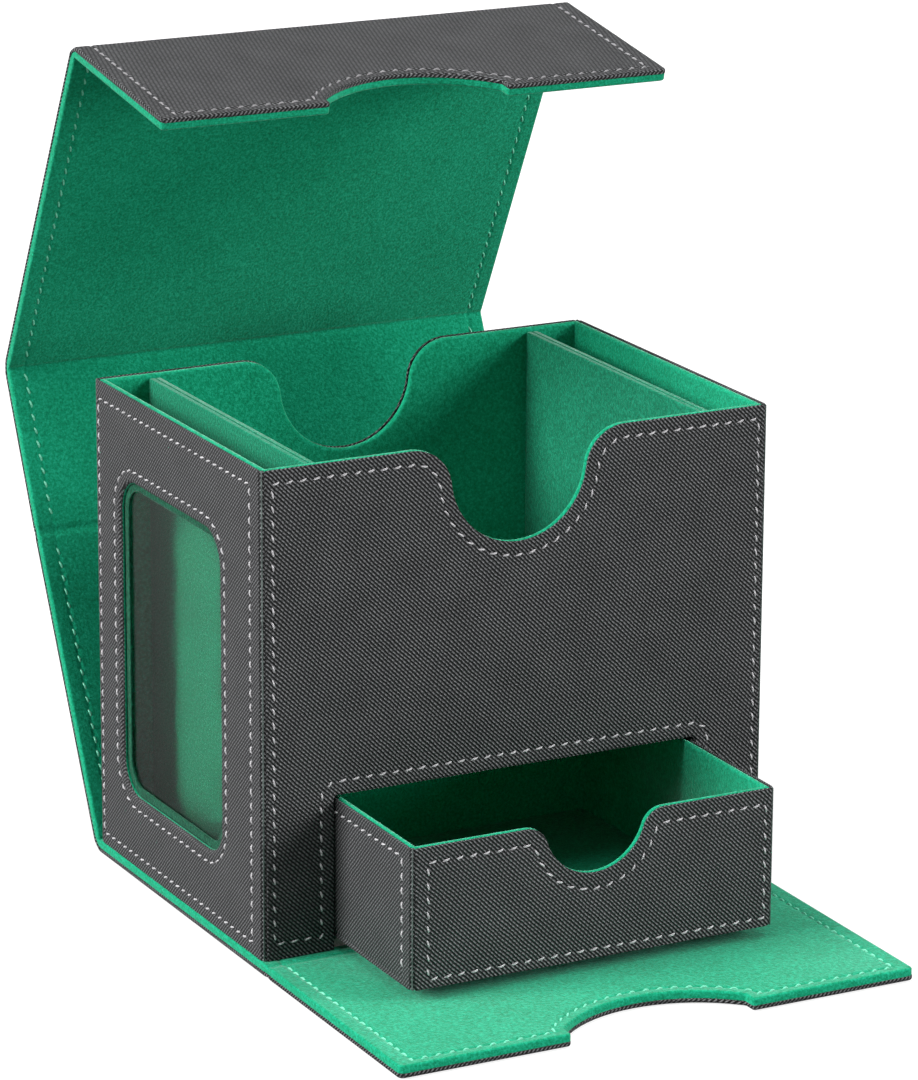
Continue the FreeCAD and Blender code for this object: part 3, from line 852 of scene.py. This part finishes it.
def add_door_trim(box, door):
    """Leather turned in round the doorway's edge."""
    half, top = door
    cut = 0.6                  # off each upper corner
    bm = bmesh.new()
    rows = []
    for inset, depth in ((0.0, 0.35), (0.0, 2.45), (0.34, 2.45), (0.34, 0.35)):
        side, rim = half - inset, top - inset
        path = [(-side, box.bottom), (-side, rim - cut), (cut - side, rim),
                (side - cut, rim), (side, rim - cut), (side, box.bottom)]
        rows.append([bm.verts.new((x, z, -depth)) for x, z in path])
    for lower, upper in zip(rows, rows[1:] + rows[:1]):
        for i in range(len(lower) - 1):
            bm.faces.new((lower[i], lower[i + 1], upper[i + 1], upper[i]))
    bm.faces.new([row[0] for row in rows])
    bm.faces.new([row[-1] for row in rows])
    add_object("doorway_edge", bm, box.place("front"), LEATHER, "box")


def add_dividers():
    """Each divider is two lined boards back to back, with the joint showing as a dark line on top."""
    for side in ("left", "right"):
        low, high = low_high(f"{side}_divider_lining")
        thick = (high.x - low.x) / 2 - 0.16
        outline = [(low.y, low.z, 0.3), (high.y, low.z, 0.3), (high.y, high.z, 0.5), (low.y, high.z, 0.5)]
        for number, x, normal in ((1, low.x, -X), (2, high.x, X)):
            plate = sheet(outline, -thick, 0.0, 0.35, bottom=[(0.45, -thick), (0.15, -thick + 0.12)])
            # the plates take the darker suede copy, which is painted shade
            add_object(f"{side}_divider_{number}", plate, facing(Vector((x, 0, 0)), Z, normal),
                       SUEDE_DIVIDER_SHADE, "box", [f"{side}_divider_lining", f"{side}_divider_board"])


def add_box_floors():
    """The shelf over the drawer, and the floor under it and under the side slots."""
    low, high = low_high("shelf_lining")
    shelf = sheet(rectangle(high.x - 0.1, low.y + 0.1, -low.y - 0.1, 0.6), -2.6, 0.0, 0.3)
    add_object("shelf", shelf, facing(Z * high.z, Y, Z), SUEDE, "box", ["shelf_board", "shelf_lining"])
    low, high = low_high("floor_lining")
    floor = sheet(rectangle(high.x - 0.7, low.y + 0.7, high.y - 0.7, 0.6), -0.6, 0.0, 0.2)
    add_object("floor", floor, facing(Z * high.z, Y, Z), SUEDE, "box", ["floor_lining"])


# ---------------------------------------------------------------- the drawer

def build_drawer():
    """The sliding drawer: walls, lining, base and floor."""
    low, high = low_high("drawer_front_leather")
    high = Vector((high.x, low_high("drawer_side_leather")[1].y, high.z))
    drawer = Tub("drawer", "drawer", low, high, DRAWER_SKIN, DRAWER_SKIN + DRAWER_BOARD + DRAWER_LINING,
                 DRAWER_ROUND, {"front": PULL})
    bottom, top = drawer.bottom, drawer.top
    floor_low, floor_high = low_high("drawer_floor_board")
    boards = [f"drawer_{side}_board" for side in ("front", "back", "left", "right")]
    drawer.lining(floor_high.z, ["drawer_lining"] + boards)
    drawer.corner_strips(bottom + 0.1, top)

    seam = wall_outline(drawer.half_x - DRAWER_SEAM_MARGIN, bottom - DRAWER_SEAM_DROP,
                        top - DRAWER_SEAM_DROP, PULL)
    seam = shift_sides(seam, drawer.half_x, DRAWER_SEAM_SHIFT, DRAWER_SEAM_SHIFT)
    add_wall(drawer, "front", seam, DRAWER_SEAM, "drawer_front_leather")
    for side in ("left", "back", "right"):
        seam = wall_outline(drawer.half(side) - DRAWER_SIDE_MARGIN, bottom - DRAWER_SIDE_DROP, top,
                            corner=DRAWER_SIDE_CORNER)
        add_wall(drawer, side, seam, DRAWER_SIDE_SEAM, "drawer_side_leather",
                 lowest=bottom + DRAWER_SIDE_LOWEST)

    def add_plate(name, margin, thick, radius, level, normal, material, replaces=()):
        """A flat plate inside the drawer's plan, with its outer face at a level."""
        deep = drawer.half_y - margin
        plate = sheet(rectangle(drawer.half_x - margin, -deep, deep, 0.8), -thick, 0.0, radius)
        place = facing(Vector((0, drawer.middle.y, level)), Y, normal)
        add_object(name, plate, place, material, "drawer", replaces)

    add_plate("drawer_base", 0.7, 1.15, 0.4, floor_low.z, -Z, LEATHER, ["drawer_floor_board"])
    add_plate("drawer_floor", 2.3, 0.6, 0.2, floor_high.z + 0.6, Z, SUEDE)


# ---------------------------------------------------------------- the cover

# Insets and heights of the cover's two layers, from their undersides to the start of their edges.
LEATHER_UNDER = [(1.2, -SKIN_TOP), (0.3, -SKIN_TOP), (0.08, -SKIN_TOP + 0.12)]
SUEDE_UNDER = [(0.6, SKIN_TOP), (0.3, SKIN_TOP), (0.08, SKIN_TOP + 0.12)]


def tilt(angle):
    """The direction that many degrees up from the back about X, and its lining's normal."""
    angle = math.radians(angle)
    return Vector((0, math.cos(angle), math.sin(angle))), Vector((0, -math.sin(angle), math.cos(angle)))


def add_panel(name, body, origin, along, normal, length, free=False):
    """One lined panel of the cover, cut straight at its creases. A free end has a finger cut-out."""
    overrun = 8.0              # drawn past a crease, then cut off
    start = CREASE_HALF
    end = length if free else length - CREASE_HALF

    def outline(margin, end_margin):
        if free:
            return flap_outline(COVER_HALF - margin, start - overrun, end - end_margin)
        return rectangle(COVER_HALF - margin, start - overrun, end + overrun, PANEL_CORNER)

    def at_creases(bm):
        cut_off(bm, start, keep_above=True)
        if not free:
            cut_off(bm, end, keep_above=False)
        return bm

    def sewn(spot):
        return spot.y > start + SEAM_END and (free or spot.y < end - SEAM_END)

    seam = (outline(COVER_SIDE_SEAM - COVER_SEAM, 0.0), COVER_SEAM)
    shell = at_creases(sheet(outline(0, 0), -SKIN_TOP, PANEL_HALF, LEATHER_ROUND, seam=seam,
                             bottom=LEATHER_UNDER))
    outside = facing(origin, along, -normal)
    add_object(f"{name}_leather_cover", shell, outside, LEATHER, body, [f"{name}_leather"])
    inner = at_creases(sheet(outline(LINING_MARGIN, LINING_MARGIN), SKIN_TOP, PANEL_HALF, SUEDE_ROUND,
                             seam=seam, bottom=SUEDE_UNDER))
    inside = facing(origin, along, normal)
    add_object(f"{name}_suede", inner, inside, SUEDE, body, [f"{name}_lining"])
    path = ring(*seam)
    add_stitches(f"{name}_outer_stitches", [path], PANEL_HALF, outside, body, COVER_THREAD, keep=sewn)
    add_stitches(f"{name}_inner_stitches", [path], PANEL_HALF, inside, body, GREEN_THREAD, keep=sewn)


def crease_section(half, low, radius, under, seam):
    """A crease layer's cross-section, from under its middle round one edge to the other edge."""
    rise = under + edge_profile(low, PANEL_HALF, radius)[2:]
    points = [(half - inset, height) for inset, height in rise]
    points += [(half - seam - step, height) for step, height in groove_profile(PANEL_HALF)]
    return points + [(-x, height) for x, height in reversed(points)]


def bend(start, along, normal, fold):
    """The middle of a crease: a function from a share of its length to a place and its normal."""
    turn = math.radians(fold)

    def spot(share):
        upright = normal * math.cos(turn * share) - along * math.sin(turn * share)
        if fold == 0:
            return start + along * (2 * CREASE_HALF * share), upright
        radius = CREASE_HALF / math.tan(turn / 2)
        return (start + along * (radius * math.sin(turn * share))
                + normal * (radius * (1 - math.cos(turn * share)))), upright

    return spot


def add_crease(name, origin, along, normal, fold, node):
    """The leather and the lining over one crease, bent by the fold, in degrees, of the open cover."""
    steps = 16
    pinched = 0.2              # of its thickness, at the middle of the fold
    lateral = along.cross(normal)
    start = origin - along * CREASE_HALF
    spot = bend(start, along, normal, fold)
    leather = crease_section(COVER_HALF, -SKIN_TOP, LEATHER_ROUND, LEATHER_UNDER, COVER_SIDE_SEAM)
    suede = crease_section(COVER_HALF - LINING_MARGIN, SKIN_TOP, SUEDE_ROUND, SUEDE_UNDER,
                           COVER_SIDE_SEAM - LINING_MARGIN)
    for label, section, flip, material, replaces in (("leather", leather, -1, LEATHER, [node]),
                                                     ("suede", suede, 1, SUEDE, [])):
        bm = bmesh.new()
        layer = bm.loops.layers.uv.new("weave")
        rows = []
        marks = {}
        for step in range(steps + 1):
            share = step / steps
            middle, upright = spot(share)
            squeeze = 1 - pinched * math.sin(math.pi * share) ** 2
            row = []
            for x, height in section:
                vert = bm.verts.new(middle + lateral * x + upright * (height * flip * squeeze))
                marks[vert] = (-x * flip, 2 * CREASE_HALF * share)
                row.append(vert)
            rows.append(row)
        strip(bm, rows)
        bm.faces.new(rows[0])
        bm.faces.new(rows[-1])
        for face in bm.faces:
            for corner in face.loops:
                corner[layer].uv = marks[corner.vert]
        piece = add_object(f"{name}_{label}", bm, ROW, material, None, replaces, mapped=True)
        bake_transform(piece)


def build_cover():
    """The panels between their creases, from the base under the box to both flaps, and the creases."""
    front, back, middle, lid, flap = (JOINTS[name] for name in (
        "lower_flap_hinge", "back_hinge", "back_crease", "lid_hinge", "upper_flap_hinge"))
    reach = front.y - low_high("lower_flap_leather")[0].y
    add_panel("base", "box", front, Y, Z, (back - front).length)
    add_panel("lower_flap", "lower_flap", front, -Y, Z, reach, free=True)
    angles = {"box": 0.0}
    for name, start, end in (("back_lower", back, middle), ("back_upper", middle, lid), ("lid", lid, flap)):
        run = end - start
        angles[name] = math.degrees(math.atan2(run.z, run.y))
        add_panel(name, name, start, *tilt(angles[name]), run.length)
    angles["upper_flap"] = UPPER_FLAP_ANGLE
    add_panel("upper_flap", "upper_flap", flap, *tilt(UPPER_FLAP_ANGLE), UPPER_FLAP_LENGTH, free=True)

    add_crease("front_fold", front, -Y, Z, 0, "front_crease")
    for name, first, second, origin, node in (
            ("back_fold", "box", "back_lower", back, "back_crease"),
            ("middle_fold", "back_lower", "back_upper", middle, "middle_crease"),
            ("lid_fold", "back_upper", "lid", lid, "lid_crease"),
            ("flap_fold", "lid", "upper_flap", flap, "flap_crease")):
        along, normal = tilt(angles[first])
        add_crease(name, origin, along, normal, angles[second] - angles[first], node)


# ---------------------------------------------------------------- hidden pieces, floor and light

def finish_frame_nodes():
    """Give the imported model's own nodes a finish: the panes, the magnets and the boards."""
    board, nickel, clear = board_material(), magnet_material(), pane_material()
    for name, node in frame["nodes"].items():
        kind = clear if "pane" in name else nickel if "magnets" in name else board
        node.data.materials.clear()
        node.data.materials.append(kind)


def add_floor():
    """A pale floor that looks white but throws little light up: it glows only for the camera."""
    n = Nodes("pale_floor")
    place = n.place()
    tooth = n.noise(place, 400, 3.0)
    seen = n.calc("MULTIPLY", n.add("ShaderNodeLightPath").outputs["Is Camera Ray"], 0.8)
    material = n.set(Base_Color=n.mix(tooth, rgb(0.23, 0.23, 0.23), rgb(0.27, 0.27, 0.27)), Roughness=0.8,
                     Specular_IOR_Level=0.1, Normal=n.bump(tooth, 0.0001, 0.1),
                     Emission_Color=rgb(1.0, 1.0, 1.0), Emission_Strength=seen)
    mesh = bpy.data.meshes.new("floor")
    size, level = 9.0, -0.0003
    corners = ((-size, -size), (size, -size), (size, size), (-size, size))
    mesh.from_pydata([(x, y, level) for x, y in corners], [], [(0, 1, 2, 3)])
    mesh.materials.append(material)
    floor = bpy.data.objects.new("floor", mesh)
    bpy.context.scene.collection.objects.link(floor)


def add_sun(name, direction, spread, strength):
    """A large soft lamp far away in that direction, spread over that many degrees."""
    data = bpy.data.lights.new(name, "SUN")
    data.angle = math.radians(spread)
    data.energy = strength
    lamp = bpy.data.objects.new(name, data)
    lamp.rotation_euler = Vector(direction).to_track_quat("Z", "Y").to_euler()
    bpy.context.scene.collection.objects.link(lamp)


def light_scene():
    world = bpy.data.worlds.new("studio")
    world.use_nodes = True
    back = world.node_tree.nodes["Background"]
    back.inputs["Color"].default_value = rgb(1.0, 1.0, 1.0)
    back.inputs["Strength"].default_value = 0.17
    bpy.context.scene.world = world
    add_sun("left", (-1.0, 0.16, 0.55), 26, 5.5)
    add_sun("right", (0.85, -0.6, 0.5), 22, 2.3)
    add_sun("front", (0.6, -1.0, 0.12), 20, 1.3)
    add_sun("above", (0.0, -0.1, 1.0), 55, 1.95)
    bpy.context.scene.view_settings.view_transform = "Standard"


add_camera()
light_scene()
finish_frame_nodes()
build_box()
build_drawer()
build_cover()
add_floor()
